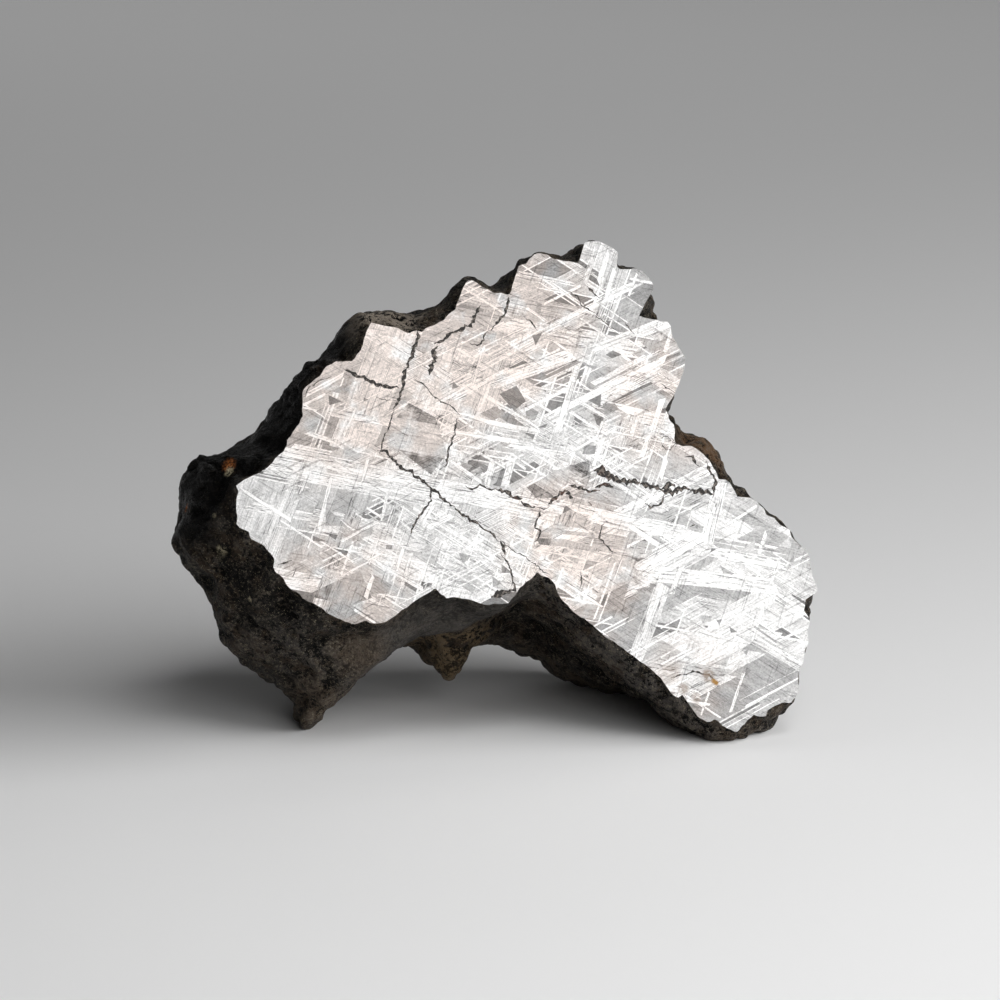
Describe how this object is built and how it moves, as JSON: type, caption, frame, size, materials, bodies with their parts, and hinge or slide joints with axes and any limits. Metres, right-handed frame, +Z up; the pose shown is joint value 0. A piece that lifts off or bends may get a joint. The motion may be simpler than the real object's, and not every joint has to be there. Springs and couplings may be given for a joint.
{
  "type": "iron meteorite end piece",
  "caption": "End piece of an iron meteorite: a lumpy natural lump with a flat etched cut on its front, standing on low natural feet.",
  "frame": {"origin": "middle of the bounding box, on the floor that the lump stands on", "axes": "+X along the lump's length, to the right as seen from the front; +Y from the cut face towards the back; +Z up"},
  "size_m": [0.0798, 0.0438, 0.0601],
  "materials": {
    "meteorite_iron": "dark, dull weathered crust; the cut face is bright etched iron with a pattern of crossing bands"
  },
  "bodies": {
    "root": {"iron_meteorite": "meteorite_iron"}
  },
  "joints": []
}
